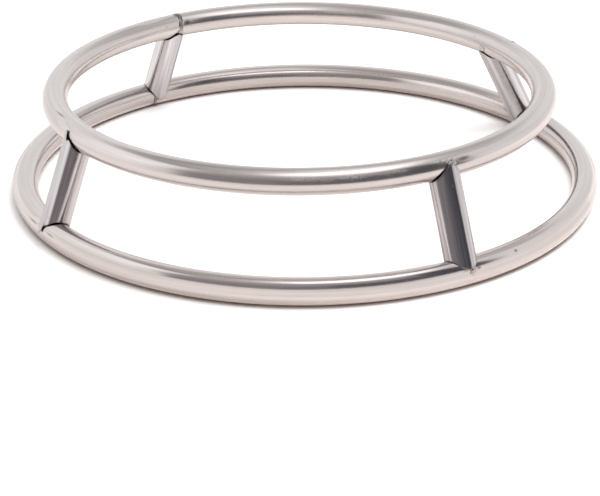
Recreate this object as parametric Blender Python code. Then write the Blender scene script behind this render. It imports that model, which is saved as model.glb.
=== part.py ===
"""A wok ring: a small hoop of stainless steel tube above a larger one, held apart by four leaning tube
struts. The ends of each strut are fish-mouthed to saddle the hoops, and tacked at their two ears."""

import math
from collections import namedtuple

import bmesh
import bpy
from mathutils import Matrix, Vector

# Tube stock.
RING_TUBE_DIAMETER = 0.0100
RING_TUBE_WALL = 0.0010
STRUT_TUBE_DIAMETER = 0.0112
STRUT_TUBE_WALL = 0.0010
EAR_TRIM = 0.0016  # the ears of a strut end this far short of the middle of the hoop's tube

# The two hoops, each measured to the middle of its tube.
LOWER_HOOP_DIAMETER = 0.2260
UPPER_HOOP_DIAMETER = 0.1940
HOOP_SPACING = 0.0350
UPPER_HOOP_SHIFT = -0.0020  # the upper hoop is welded on this far off centre, along X

# Bearings in degrees: 0 is the front, at -Y, and 90 is the right, at +X.
STRUT_BEARINGS = {  # of the foot on the lower hoop, and of the head on the upper hoop
    "front_right": (30.0, 31.8),
    "back_right": (122.4, 123.6),
    "back_left": (217.0, 214.9),
    "front_left": (302.6, 302.2),
}
UPPER_SEAM_BEARING = 214.2
LOWER_SEAM_BEARING = 218.3

# Welds.
SEAM_WELD_WIDTH = 0.0018  # along the hoop, between the two ends of its tube
TACK_LENGTH = 0.0048  # along the hoop
TACK_WIDTH = 0.0036  # around the hoop's tube
TACK_HEIGHT = 0.0011  # above the hoop's tube
TACK_RISE = math.radians(8)  # from square to the strut to the middle of the tack, around the tube

FIT_GAP = 0.0003  # left between pieces that touch

# How finely the round shapes are divided.
HOOP_STEPS = 64
HOOP_TUBE_SIDES = 16
SADDLE_STEPS = 96
SADDLE_SIDES = 24
STRUT_TUBE_SIDES = 20
TACK_SIDES = 10
TACK_RINGS = 6

RING_TUBE_RADIUS = RING_TUBE_DIAMETER / 2
RING_BORE_RADIUS = RING_TUBE_RADIUS - RING_TUBE_WALL
STRUT_TUBE_RADIUS = STRUT_TUBE_DIAMETER / 2
STRUT_BORE_RADIUS = STRUT_TUBE_RADIUS - STRUT_TUBE_WALL
SADDLE_RADIUS = RING_TUBE_RADIUS + FIT_GAP

Hoop = namedtuple("Hoop", "name radius centre seam_bearing")
# One end of a strut: its hoop and bearing, the middle of the hoop's tube there, the direction in
# which the strut runs out to it, and the direction square to the strut that points out of the ring.
StrutEnd = namedtuple("StrutEnd", "name hoop bearing point along outward")

LOWER_HOOP = Hoop(
    "lower_ring", LOWER_HOOP_DIAMETER / 2, Vector((0, 0, RING_TUBE_RADIUS)), LOWER_SEAM_BEARING
)
UPPER_HOOP = Hoop(
    "upper_ring",
    UPPER_HOOP_DIAMETER / 2,
    Vector((UPPER_HOOP_SHIFT, 0, RING_TUBE_RADIUS + HOOP_SPACING)),
    UPPER_SEAM_BEARING,
)


def clear_scene():
    for obj in list(bpy.data.objects):
        bpy.data.objects.remove(obj, do_unlink=True)


def steel(name, colour, roughness):
    material = bpy.data.materials.new(name)
    material.use_nodes = True
    shader = material.node_tree.nodes["Principled BSDF"]
    shader.inputs["Base Color"].default_value = (*colour, 1)
    shader.inputs["Metallic"].default_value = 1
    shader.inputs["Roughness"].default_value = roughness
    return material


def outward(bearing):
    """The level direction that a bearing points in, away from the middle of the ring."""
    angle = math.radians(bearing)
    return Vector((math.sin(angle), -math.cos(angle), 0))


def tangent(bearing):
    """The level direction along a hoop at a bearing."""
    return outward(bearing + 90)


def hoop_point(hoop, bearing):
    """The middle of the hoop's tube at a bearing."""
    return hoop.centre + hoop.radius * outward(bearing)


def strut_ends(foot_bearing, head_bearing):
    """The lower and the upper end of a strut that runs from hoop to hoop."""
    foot = hoop_point(LOWER_HOOP, foot_bearing)
    head = hoop_point(UPPER_HOOP, head_bearing)
    up = (head - foot).normalized()
    ends = []
    for name, hoop, bearing, point, along in (
        ("foot", LOWER_HOOP, foot_bearing, foot, -up),
        ("head", UPPER_HOOP, head_bearing, head, up),
    ):
        away = outward(bearing)
        square = (away - along * away.dot(along)).normalized()
        ends.append(StrutEnd(name, hoop, bearing, point, along, square))
    return ends


def circle(mesh_data, sides, radius, placement, first_corner=0.0):
    """A loop of corners around the local Y axis. first_corner is a share of one side."""
    corners = []
    for side in range(sides):
        angle = (side + first_corner) * math.tau / sides
        local = Vector((radius * math.cos(angle), 0, radius * math.sin(angle)))
        corners.append(mesh_data.verts.new(placement @ local))
    return corners


def bridge(mesh_data, loop, next_loop):
    """The faces between two loops that have as many corners."""
    for side in range(len(loop)):
        following = (side + 1) % len(loop)
        mesh_data.faces.new((loop[side], loop[following], next_loop[following], next_loop[side]))


def hoop_section(mesh_data, hoop, bearing, radius, sides=HOOP_TUBE_SIDES):
    """The tube's outline at a bearing: flat sides at the radius, the lowest and highest level."""
    turn = Matrix.Rotation(math.radians(bearing - 90), 4, "Z")
    place = Matrix.Translation((hoop.radius, 0, 0))
    corner_radius = radius / math.cos(math.pi / sides)
    return circle(mesh_data, sides, corner_radius, turn @ place, first_corner=0.5)


def bent_tube(hoop, start, sweep, steps):
    """Tube along part of the hoop, open at both ends. Angles in degrees."""
    mesh_data = bmesh.new()
    skins = []
    for radius in (RING_TUBE_RADIUS, RING_BORE_RADIUS):
        loops = [
            hoop_section(mesh_data, hoop, start + sweep * step / steps, radius)
            for step in range(steps + 1)
        ]
        for loop, next_loop in zip(loops, loops[1:]):
            bridge(mesh_data, loop, next_loop)
        skins.append(loops)
    outside, bore = skins
    bridge(mesh_data, outside[0], bore[0])
    bridge(mesh_data, outside[-1], bore[-1])
    return mesh_data


def saddle_shape(hoop):
    """The whole hoop as a solid, with the gap that a strut or a tack keeps to it."""
    mesh_data = bmesh.new()
    loops = [
        hoop_section(mesh_data, hoop, 360 * step / SADDLE_STEPS, SADDLE_RADIUS, SADDLE_SIDES)
        for step in range(SADDLE_STEPS)
    ]
    for loop, next_loop in zip(loops, loops[1:] + loops[:1]):
        bridge(mesh_data, loop, next_loop)
    return mesh_data


def straight_tube(length, radius, bore_radius=None):
    """A tube or a rod along the local Y axis, from the origin, with a corner towards +X."""
    mesh_data = bmesh.new()
    near = Matrix.Identity(4)
    far = Matrix.Translation((0, length, 0))
    outside = [circle(mesh_data, STRUT_TUBE_SIDES, radius, end) for end in (near, far)]
    bridge(mesh_data, *outside)
    if bore_radius is None:
        mesh_data.faces.new(outside[0])
        mesh_data.faces.new(outside[1])
        return mesh_data
    bore = [circle(mesh_data, STRUT_TUBE_SIDES, bore_radius, end) for end in (near, far)]
    bridge(mesh_data, *bore)
    bridge(mesh_data, outside[0], bore[0])
    bridge(mesh_data, outside[1], bore[1])
    return mesh_data


def frame_matrix(x_axis, y_axis, origin):
    """The placement whose local X and Y point as given."""
    z_axis = x_axis.cross(y_axis)
    turn = Matrix((x_axis, y_axis, z_axis)).transposed().to_4x4()
    return Matrix.Translation(origin) @ turn


def add_object(name, mesh_data, material, parent, placement):
    """Turns the bmesh into a smooth-shaded object, placed in the world."""
    mesh = bpy.data.meshes.new(name)
    bmesh.ops.recalc_face_normals(mesh_data, faces=mesh_data.faces)
    mesh_data.to_mesh(mesh)
    mesh_data.free()
    mesh.materials.append(material)
    mesh.shade_smooth()
    mesh.set_sharp_from_angle(angle=math.radians(35))
    obj = bpy.data.objects.new(name, mesh)
    bpy.context.scene.collection.objects.link(obj)
    obj.parent = parent
    obj.matrix_world = placement
    return obj


def add_cutter(name, mesh_data, material, parent, placement):
    cutter = add_object(name, mesh_data, material, parent, placement)
    cutter.hide_render = True
    cutter.display_type = "WIRE"
    return cutter


def cut(obj, cutter):
    boolean = obj.modifiers.new("cut by " + cutter.name, "BOOLEAN")
    boolean.operation = "DIFFERENCE"
    boolean.solver = "EXACT"
    boolean.object = cutter


def add_hoop(hoop, material, parent):
    """Tube bent to a hoop, with room for the seam weld between its two ends."""
    seam_gap = math.degrees((SEAM_WELD_WIDTH + 2 * FIT_GAP) / hoop.radius)
    mesh_data = bent_tube(hoop, hoop.seam_bearing + seam_gap / 2, 360 - seam_gap, HOOP_STEPS)
    add_object(hoop.name, mesh_data, material, parent, Matrix.Translation(hoop.centre))


def add_seam_weld(hoop, material, parent):
    """The butt weld between the ends of the hoop's tube, dressed flush with it."""
    sweep = math.degrees(SEAM_WELD_WIDTH / hoop.radius)
    mesh_data = bent_tube(hoop, hoop.seam_bearing - sweep / 2, sweep, 1)
    name = hoop.name + "_seam_weld"
    add_object(name, mesh_data, material, parent, Matrix.Translation(hoop.centre))


def add_strut(name, ends, saddles, material, parent):
    """Tube from one hoop to the other, saddled over both."""
    foot, head = ends
    length = (head.point - foot.point).length - 2 * EAR_TRIM
    mesh_data = straight_tube(length, STRUT_TUBE_RADIUS, STRUT_BORE_RADIUS)
    placement = frame_matrix(foot.outward, head.along, foot.point + EAR_TRIM * head.along)
    strut = add_object("strut_" + name, mesh_data, material, parent, placement)
    for end in ends:
        cut(strut, saddles[end.hoop.name])


def add_strut_envelope(name, ends, material, parent):
    """A rod around the strut and its ears, with the gap that the tacks keep to it."""
    foot, head = ends
    trim = EAR_TRIM - FIT_GAP
    length = (head.point - foot.point).length - 2 * trim
    mesh_data = straight_tube(length, STRUT_TUBE_RADIUS + FIT_GAP)
    placement = frame_matrix(foot.outward, head.along, foot.point + trim * head.along)
    return add_cutter("envelope_" + name, mesh_data, material, parent, placement)


def add_tack(name, end, side, saddle, envelope, material, parent):
    """A bead over one ear of a strut's end. side is 1 for the outer ear and -1 for the inner."""
    along_hoop = tangent(end.bearing)
    ear = math.cos(TACK_RISE) * side * end.outward + math.sin(TACK_RISE) * end.along
    away = (ear - along_hoop * ear.dot(along_hoop)).normalized()
    mesh_data = bmesh.new()
    bmesh.ops.create_uvsphere(mesh_data, u_segments=TACK_SIDES, v_segments=TACK_RINGS, radius=1)
    bmesh.ops.scale(
        mesh_data, vec=(TACK_LENGTH / 2, TACK_WIDTH / 2, TACK_HEIGHT), verts=mesh_data.verts
    )
    placement = frame_matrix(
        along_hoop, away.cross(along_hoop), end.point + RING_TUBE_RADIUS * away
    )
    tack = add_object(name, mesh_data, material, parent, placement)
    cut(tack, saddle)
    cut(tack, envelope)


def main():
    clear_scene()
    tube_steel = steel("polished tube steel", (0.78, 0.77, 0.76), 0.2)
    strut_steel = steel("drawn strut steel", (0.72, 0.71, 0.71), 0.28)
    weld_steel = steel("weld steel", (0.62, 0.59, 0.55), 0.4)
    wok_ring = bpy.data.objects.new("wok_ring", None)
    bpy.context.scene.collection.objects.link(wok_ring)

    saddles = {}
    for hoop in (LOWER_HOOP, UPPER_HOOP):
        add_hoop(hoop, tube_steel, wok_ring)
        add_seam_weld(hoop, weld_steel, wok_ring)
        saddles[hoop.name] = add_cutter(
            hoop.name + "_saddle",
            saddle_shape(hoop),
            tube_steel,
            wok_ring,
            Matrix.Translation(hoop.centre),
        )

    for name, bearings in STRUT_BEARINGS.items():
        ends = strut_ends(*bearings)
        add_strut(name, ends, saddles, strut_steel, wok_ring)
        envelope = add_strut_envelope(name, ends, strut_steel, wok_ring)
        for end in ends:
            for ear, side in (("outer", 1), ("inner", -1)):
                tack_name = f"tack_{name}_{end.name}_{ear}"
                saddle = saddles[end.hoop.name]
                add_tack(tack_name, end, side, saddle, envelope, weld_steel, wok_ring)


main()
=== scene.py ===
"""Wok ring: a welded stand of two tube hoops and four struts, finished as the real one, in a studio."""
import math
from collections import namedtuple

import bpy
import numpy as np
from bpy.props import FloatProperty, FloatVectorProperty, PointerProperty
from bpy.types import Operator, Panel, PropertyGroup
from mathutils import Matrix, Vector


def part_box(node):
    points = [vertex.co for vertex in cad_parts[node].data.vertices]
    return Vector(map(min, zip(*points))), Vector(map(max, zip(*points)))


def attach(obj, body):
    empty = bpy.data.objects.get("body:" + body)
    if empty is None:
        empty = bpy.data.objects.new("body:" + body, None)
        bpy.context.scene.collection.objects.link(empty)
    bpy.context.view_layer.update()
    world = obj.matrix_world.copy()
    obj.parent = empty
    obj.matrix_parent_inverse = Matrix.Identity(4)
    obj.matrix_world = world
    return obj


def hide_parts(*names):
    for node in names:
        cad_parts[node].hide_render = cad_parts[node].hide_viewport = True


bl_info = {
    "name": "Wok Ring",
    "version": (1, 0, 0),
    "blender": (4, 5, 0),
    "location": "3D View > Sidebar > Wok Ring",
    "description": "Builds a welded stainless wok ring and a small light tent to view it in",
    "category": "Object",
}

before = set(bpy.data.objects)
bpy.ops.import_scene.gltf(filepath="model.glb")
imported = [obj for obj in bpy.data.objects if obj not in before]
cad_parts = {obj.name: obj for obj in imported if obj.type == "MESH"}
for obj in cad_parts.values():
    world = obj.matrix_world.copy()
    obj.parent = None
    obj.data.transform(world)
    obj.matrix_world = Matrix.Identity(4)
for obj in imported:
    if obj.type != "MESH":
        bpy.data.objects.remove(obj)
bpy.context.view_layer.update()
MM = 0.001
UP = np.array([0.0, 0.0, 1.0])


# Measurements taken from the frame

def hoop_measures(node):
    """Reads a hoop's centre, radius to the middle of the tube, and tube radius off its CAD node."""
    low, high = (np.array(corner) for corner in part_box(node))
    tube = (high[2] - low[2]) / 2
    centre = (low + high) / 2
    return centre, (high[0] - low[0]) / 2 - tube, tube


LOWER_CENTRE, LOWER_RADIUS, TUBE_RADIUS = hoop_measures("lower_ring")
UPPER_CENTRE, UPPER_RADIUS, _ = hoop_measures("upper_ring")

# A strut's bearings are those of its foot and its head. Oval is its breadth over its depth, and ear is
# how much longer than usual its ears are, in mm. Tone is how much lighter its steel is, in red, green
# and blue: on the back struts it is a painted highlight, lighter copies of the same steel. Slits are
# the widest openings of the saddle, in mm, in its four quarters: outer right, inner right, inner left
# and outer left, as seen from outside with the stand upright. A nick is one more opening: its angle,
# width in mm and spread in degrees. Dark bands run the strut's length: angle at the foot and at the
# head, half width, darkness and heat.
Strut = namedtuple("Strut", (
    "name", "foot_bearing", "head_bearing", "oval", "ear", "tone",
    "foot_slits", "head_slits", "foot_nick", "head_nick", "stains"))
PLAIN_STEEL = (1.0, 1.0, 1.0)
NO_NICK = (0, 0.0, 10)
STRUTS = (
    Strut("front_right", 30.0, 31.8, 1.075, 0.2, PLAIN_STEEL,
          (0.05, 0.20, 0.20, 0.16), (0.04, 0.30, 0.30, 0.55), (2, 0.12, 14), (-9, 0.30, 13),
          ((-104, -102, 14, 0.62, 0.30), (-62, -64, 13, 0.05, 0.30), (-18, -12, 7, 0.30, 0.05))),
    Strut("back_right", 122.4, 123.6, 1.0, 0.0, (1.03, 1.07, 1.08),
          (0.20, 0.25, 0.45, 0.35), (0.20, 0.20, 0.45, 0.20), (-75, 0.35, 22), NO_NICK,
          ((-112, -114, 32, 0.46, 0.48), (-120, -118, 17, 0.36, 0.40), (-62, -58, 20, 0.05, 0.40))),
    Strut("back_left", 217.0, 214.9, 1.0, 0.0, (1.16, 1.21, 1.23),
          (0.30, 0.42, 0.06, 0.20), (0.25, 0.48, 0.34, 0.20), NO_NICK, NO_NICK,
          ((110, 124, 10, 0.08, 0.40), (154, 136, 7, 0.16, 0.28))),
    Strut("front_left", 302.6, 302.2, 1.0, 2.0, PLAIN_STEEL,
          (0.55, 0.36, 0.15, 0.08), (0.62, 0.36, 0.20, 0.03), (14, 0.42, 11), (8, 0.75, 10),
          ((93, 89, 7, 0.30, 0.45), (118, 120, 9, 0.02, 0.22))),
)
# Bearings of the hoops' seams, how far the top of each seam lies along the hoop from its side, and how
# soon a hoop that stands out of round at its seam comes round again.
UPPER_SEAM = 214.2
LOWER_SEAM = 218.3
SEAM_SKEW = {"upper": -1.0 * MM, "lower": 0.3 * MM}
PEAK_REACH = 7.0 * MM


# Sizes, finish and studio that a user may change

class WokRingSizes(PropertyGroup):
    """Sizes of the stand's parts, in metres."""
    lower_radius: FloatProperty(
        name="Lower hoop radius", description="From the hoop's centre to the middle of its tube",
        default=LOWER_RADIUS, min=0.02, unit="LENGTH", precision=5)
    upper_radius: FloatProperty(
        name="Upper hoop radius", description="From the hoop's centre to the middle of its tube",
        default=UPPER_RADIUS, min=0.02, unit="LENGTH", precision=5)
    hoop_tube: FloatProperty(
        name="Hoop tube radius", description="Outside radius of the tube that both hoops are bent from",
        default=TUBE_RADIUS, min=0.001, unit="LENGTH", precision=5)
    strut_tube: FloatProperty(
        name="Strut tube radius", description="Outside radius of the tube that the struts are cut from",
        default=0.0056, min=0.001, unit="LENGTH", precision=5)
    strut_wall: FloatProperty(
        name="Strut wall", description="Thickness of the struts' tube wall",
        default=0.001, min=0.0002, unit="LENGTH", precision=5)
    ear_end: FloatProperty(
        name="Ear end", description="How far short of the hoop tube's middle a strut's ears end",
        default=0.0003, min=0.0, unit="LENGTH", precision=5)
    seam_peak: FloatProperty(
        name="Seam peak", description="How far a hoop's two ends stand out of round at their seam",
        default=0.0003, min=0.0, max=0.002, unit="LENGTH", precision=5)


class WokRingFinish(PropertyGroup):
    """Colours and roughness of the stand's metals."""
    hoop_colour: FloatVectorProperty(
        name="Hoop steel", description="Colour of the polished stainless tube of the hoops",
        subtype="COLOR", size=3, default=(0.660, 0.607, 0.590), min=0.0, max=1.0)
    strut_colour: FloatVectorProperty(
        name="Strut steel", description="Colour of the drawn stainless tube of the struts",
        subtype="COLOR", size=3, default=(0.590, 0.560, 0.556), min=0.0, max=1.0)
    weld_colour: FloatVectorProperty(
        name="Weld steel", description="Colour of the weld beads",
        subtype="COLOR", size=3, default=(0.560, 0.520, 0.490), min=0.0, max=1.0)
    # Painted shade: the dark colour inside the struts' tube, which is also the colour of soot.
    bore_colour: FloatVectorProperty(
        name="Bore shade and soot", description="Colour of the dark scale inside the struts",
        subtype="COLOR", size=3, default=(0.060, 0.052, 0.050), min=0.0, max=1.0)
    straw_colour: FloatVectorProperty(
        name="Straw tint", description="Heat tint furthest from a weld",
        subtype="COLOR", size=3, default=(0.640, 0.520, 0.380), min=0.0, max=1.0)
    brown_colour: FloatVectorProperty(
        name="Brown tint", description="Heat tint nearest to a weld",
        subtype="COLOR", size=3, default=(0.270, 0.185, 0.150), min=0.0, max=1.0)
    hoop_roughness: FloatProperty(
        name="Hoop roughness", description="Roughness of the polished hoops",
        subtype="FACTOR", default=0.19, min=0.0, max=1.0)
    strut_roughness: FloatProperty(
        name="Strut roughness", description="Roughness of the drawn struts",
        subtype="FACTOR", default=0.14, min=0.0, max=1.0)
    weld_roughness: FloatProperty(
        name="Weld roughness", description="Roughness of the weld beads",
        subtype="FACTOR", default=0.32, min=0.0, max=1.0)


class WokRingStudio(PropertyGroup):
    """Brightness of the floor and of the light tent."""
    floor_colour: FloatVectorProperty(
        name="Floor", description="Colour of the floor paper",
        subtype="COLOR", size=3, default=(0.94, 0.935, 0.93), min=0.0, max=1.0)
    sky: FloatProperty(
        name="Sky", description="Strength of the even light from all round",
        default=0.60, min=0.0, max=2.0)
    lamp_power: FloatProperty(
        name="Lamp", description="Power of the large soft lamp",
        default=11.5, min=0.0, unit="POWER")
    lamp_size: FloatProperty(
        name="Lamp size", description="Side of the square soft lamp",
        default=1.0, min=0.05, unit="LENGTH")


# Geometry

# How far one piece's grain is shifted from another's, in metres, so that no two look alike, and the
# first seeds of the struts and the spatter.
UPPER_HOOP_GRAIN = 3.0
STRUT_GRAIN = 0.7
BEAD_GRAIN = 0.37
STRUT_SEED = 11
SPATTER_SEED = 40


def outward(bearing):
    """Unit vector from the middle to a bearing: 0 is the front, 90 the right, in degrees."""
    turn = np.radians(bearing)
    return np.stack([np.sin(turn), -np.cos(turn), np.zeros_like(turn)], axis=-1)


def wrapped(angle):
    """The same angle, from -180 to 180 degrees."""
    return (np.asarray(angle, dtype=float) + 180.0) % 360.0 - 180.0


def smooth_step(value, low, high):
    """0 below low, 1 above high, and a smooth rise between."""
    share = np.clip((np.asarray(value, dtype=float) - low) / (high - low), 0.0, 1.0)
    return share * share * (3.0 - 2.0 * share)


def hoop_sizes(which):
    """Centre, radius and seam bearing of a hoop."""
    sizes = bpy.context.scene.wok_ring_sizes
    if which == "upper":
        return UPPER_CENTRE, sizes.upper_radius, UPPER_SEAM
    return LOWER_CENTRE, sizes.lower_radius, LOWER_SEAM


def hoop_tube():
    """Outside radius of the hoops' tube."""
    return bpy.context.scene.wok_ring_sizes.hoop_tube


def hoop_path(which, bearing):
    """Middle of a hoop's tube at a bearing, with its ends standing a little out of round at the seam."""
    centre, radius, seam = hoop_sizes(which)
    run = np.abs(np.radians(wrapped(bearing - seam))) * radius
    peak = bpy.context.scene.wok_ring_sizes.seam_peak * np.exp(-run / PEAK_REACH)
    return centre + outward(bearing) * (radius + peak)[..., None]


def hoop_surface(which, bearing, girth, lift=0.0):
    """A point on a hoop's skin and the way out of it: girth 0 is the outer side and 90 the top."""
    turn = np.radians(girth)
    away = np.cos(turn)[..., None] * outward(bearing) + np.sin(turn)[..., None] * UP
    reach = np.asarray(hoop_tube() + lift)[..., None]
    return hoop_path(which, bearing) + away * reach, away


def ring_angles(count):
    """Even steps round a tube, in degrees."""
    return np.linspace(-180.0, 180.0, count, endpoint=False)


def straightened(run, reach, turn):
    """Where a point of a tube would lie if the tube were straight along X."""
    return np.stack([run, reach * np.cos(turn), reach * np.sin(turn)], axis=-1)


def grid_faces(rows, columns, close_rows=False, close_columns=True):
    """Four-sided faces of a grid of points, closed round its columns and perhaps its rows."""
    row = np.arange(rows if close_rows else rows - 1)
    column = np.arange(columns if close_columns else columns - 1)
    a, b = (index.ravel() for index in np.meshgrid(row, column, indexing="ij"))
    c, d = (a + 1) % rows, (b + 1) % columns
    return np.stack([a * columns + b, a * columns + d, c * columns + d, c * columns + b], axis=1).tolist()


def tube_faces(rows, columns):
    """Faces of a tube's skin, with both its ends closed."""
    last = (rows - 1) * columns
    ends = [list(range(columns)), [last + step for step in reversed(range(columns))]]
    return grid_faces(rows, columns) + ends


def dome_faces(rings, sides):
    """Faces of a drop: a fan round its crown, rings down to its rim, and a flat underside."""
    fan = [[0, sides + (step + 1) % sides, sides + step] for step in range(sides)]
    skin = [face for face in grid_faces(rings, sides) if face[0] >= sides]
    rim = (rings - 1) * sides
    return fan + skin + [[rim + step for step in range(sides)]]


def add_object(name, data):
    item = bpy.data.objects.new(name, data)
    bpy.context.scene.collection.objects.link(item)
    return item


def add_piece(name, points, faces, materials, slot, replaced, face_materials=None, **numbers):
    """Makes a smooth mesh, stores its named numbers on its points, and sets it on the frame."""
    mesh = bpy.data.meshes.new(name)
    mesh.from_pydata(points.reshape(-1, 3).tolist(), [], faces)
    mesh.validate()
    mesh.polygons.foreach_set("use_smooth", [True] * len(mesh.polygons))
    for key, values in numbers.items():
        values = np.asarray(values, dtype=np.float32).ravel()
        kind, field = ("FLOAT", "value") if len(values) == len(mesh.vertices) else ("FLOAT_VECTOR", "vector")
        mesh.attributes.new(key, kind, "POINT").data.foreach_set(field, values)
    for material in materials:
        mesh.materials.append(material)
    if face_materials is not None:
        mesh.polygons.foreach_set("material_index", np.asarray(face_materials, dtype=np.int32))
    mesh.update()
    piece = add_object(name, mesh)
    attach(piece, "root")
    if replaced:
        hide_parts(*replaced)


# Heat, soot and marks

# Heat tints beside the welds: bearing, girth, reach in mm and strength from 0 to 1.
HEAT_TINTS = {
    "upper": (
        (212.4, 158, 3.4, 0.95), (214.0, 120, 2.6, 0.75), (214.4, 185, 3.0, 0.80),
        (218.7, 158, 1.6, 0.55), (33.4, 34, 2.6, 0.85), (35.4, 32, 3.0, 0.80),
        (37.8, 30, 2.4, 0.55), (29.4, 40, 1.6, 0.60), (122.4, 190, 2.4, 0.80)),
    "lower": (
        (31.9, 28, 2.0, 1.00), (29.3, 33, 2.0, 1.00), (30.6, 38, 1.8, 0.90),
        (218.6, 190, 2.6, 0.70), (122.5, 175, 3.0, 0.60), (298.4, 20, 3.0, 0.20)),
}
EAR_GIRTHS = (8.0, 172.0)
EAR_HEAT = (3.0, 0.30)  # reach in mm and strength


def heat_at(points):
    """Strongest heat tint at each point: those of the table, and one at each ear of a strut."""
    rows = [(which, *tint) for which, tints in HEAT_TINTS.items() for tint in tints]
    for strut in STRUTS:
        for girth in EAR_GIRTHS:
            rows.append(("lower", strut.foot_bearing, girth, *EAR_HEAT))
            rows.append(("upper", strut.head_bearing, -girth, *EAR_HEAT))
    heat = np.zeros(len(points))
    for which, bearing, girth, reach, strength in rows:
        far = np.linalg.norm(points - hoop_surface(which, bearing, girth)[0], axis=1) / (reach * MM)
        heat = np.maximum(heat, strength * np.exp(-far * far))
    return heat


# Marks drawn on the hoops' skin: bearing, girth, half length and half width in mm, and turn in
# degrees. Lines are creases painted dark, patches are ground lighter, scuffs are dulled, and stains are
# smears of soot.
MARKS = {
    ("upper", "stain"): (
        (35.4, 32, 4.6, 1.3, -2), (212.3, 156, 2.4, 1.6, 0), (215.0, 96, 1.1, 3.2, 8),
        (121.8, 196, 1.7, 1.6, 0)),
    ("lower", "stain"): (
        (29.4, 35, 2.6, 1.4, 0), (31.9, 30, 1.5, 1.2, 0), (300.9, 30, 0.7, 1.5, -30),
        (217.9, 196, 1.0, 3.4, 0), (124.6, 160, 3.4, 1.6, 10), (41.2, 45, 0.60, 0.45, 0)),
    ("upper", "patch"): (
        (297.5, 52, 7.4, 2.9, -14), (221.0, 92, 11.0, 2.6, 4), (127.0, 20, 5.0, 2.6, 0),
        (218.0, 30, 4.5, 2.6, -8)),
    ("lower", "patch"): ((299.2, 22, 5.6, 2.8, 12), (124.0, 14, 4.5, 2.4, 8)),
    ("upper", "line"): ((294.3, 64, 6.0, 0.46, 3), (299.8, 49, 2.2, 0.26, -38)),
    ("lower", "line"): (
        (298.7, 27, 5.8, 0.52, 2), (305.9, 24, 3.8, 0.38, -2), (41.0, 46, 1.15, 0.85, 0)),
    ("upper", "scuff"): (
        (1.5, 36, 12.0, 1.5, 0), (9.0, 34, 15.0, 1.9, 2), (19.0, 33, 8.0, 1.2, 2),
        (36.0, 31, 6.0, 1.4, -4), (223.0, 84, 14.0, 4.2, 3), (168.0, 150, 14.0, 1.6, 0)),
    ("lower", "scuff"): ((355.7, 47, 1.1, 0.6, 20),),
}


# Materials

class Graph:
    """A short way to write the nodes of a material or of the world."""

    def __init__(self, owner):
        owner.use_nodes = True
        self.owner = owner
        self.tree = owner.node_tree
        self.tree.nodes.clear()

    def add(self, kind, settings=None, **inputs):
        node = self.tree.nodes.new(f"ShaderNode{kind}")
        for key, value in (settings or {}).items():
            setattr(node, key, value)
        for key, value in inputs.items():
            self.plug(node.inputs[key.replace("_", " ")], value)
        return node

    def plug(self, socket, value):
        if isinstance(value, bpy.types.NodeSocket):
            self.tree.links.new(value, socket)
        elif socket.type == "RGBA" and len(value) == 3:
            socket.default_value = (*value, 1.0)
        else:
            socket.default_value = value

    def fill(self, sockets, values):
        for socket, value in zip(sockets, values):
            self.plug(socket, value)

    def math(self, operation, *values):
        node = self.add("Math", {"operation": operation})
        self.fill(node.inputs, values)
        return node.outputs[0]

    def times(self, first, second):
        return self.math("MULTIPLY", first, second)

    def layer(self, base, *layers):
        """Adds to a base each further value times its own share."""
        for value, share in layers:
            base = self.math("MULTIPLY_ADD", value, share, base)
        return base

    def mix(self, share, first, second, blend="MIX"):
        node = self.add("Mix", {"data_type": "RGBA", "blend_type": blend})
        self.fill((node.inputs[0], node.inputs[6], node.inputs[7]), (share, first, second))
        return node.outputs[2]

    def spread(self, value, low, high, to_low=0.0, to_high=1.0):
        """Maps a value smoothly from one range to another."""
        node = self.add("MapRange", {"interpolation_type": "SMOOTHSTEP"})
        self.fill(node.inputs, (value, low, high, to_low, to_high))
        return node.outputs[0]

    def stored(self, name, output="Fac"):
        return self.add("Attribute", {"attribute_name": name}).outputs[output]

    def noise(self, vector, along, across, detail=3.0, roughness=0.55, shift=(0.0, 0.0, 0.0)):
        """Noise with so many grains a metre along a tube and across it."""
        placed = self.add("Mapping", Vector=vector, Scale=(along, across, across), Location=shift)
        grain = self.add("TexNoise", Vector=placed.outputs[0], Scale=1.0, Detail=detail,
                         Roughness=roughness)
        return grain.outputs[0]

    def show(self, kind, **inputs):
        """Ends the graph in a shader of this kind, and hands back the material or world."""
        shader = self.add(kind, **inputs)
        output = "World" if isinstance(self.owner, bpy.types.World) else "Material"
        self.tree.links.new(shader.outputs[0], self.add(f"Output{output}").inputs[0])
        return self.owner


def toned(colour, tones):
    """A colour made lighter or darker, by one tone or by one each for red, green and blue."""
    return [min(1.0, part * float(tone)) for part, tone in zip(colour, np.broadcast_to(tones, 3))]


MARK_SOFTNESS = {"patch": 0.72, "scuff": 0.25, "line": 0.20, "stain": 0.0}


def mark_masks(graph, which):
    """A mask for each kind of mark, drawn on the unrolled skin of a hoop."""
    masks = dict.fromkeys(MARK_SOFTNESS, 0.0)
    if which is None:
        return masks
    unrolled = graph.stored("unrolled", "Vector")
    _, radius, seam = hoop_sizes(which)
    for kind, softness in MARK_SOFTNESS.items():
        for bearing, girth, half_length, half_width, turn in MARKS[which, kind]:
            along = math.radians((bearing - seam) % 360.0) * radius
            placed = graph.add(
                "Mapping", {"vector_type": "TEXTURE"}, Vector=unrolled,
                Location=(along, math.radians(girth) * hoop_tube(), 0.0),
                Rotation=(0.0, 0.0, math.radians(turn)), Scale=(half_length * MM, half_width * MM, 1.0))
            far = graph.add("VectorMath", {"operation": "LENGTH"}, Vector=placed.outputs[0])
            mask = graph.spread(far.outputs["Value"], softness, 1.0, 1.0, 0.0)
            masks[kind] = mask if masks[kind] == 0.0 else graph.math("MAXIMUM", masks[kind], mask)
    return masks


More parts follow.
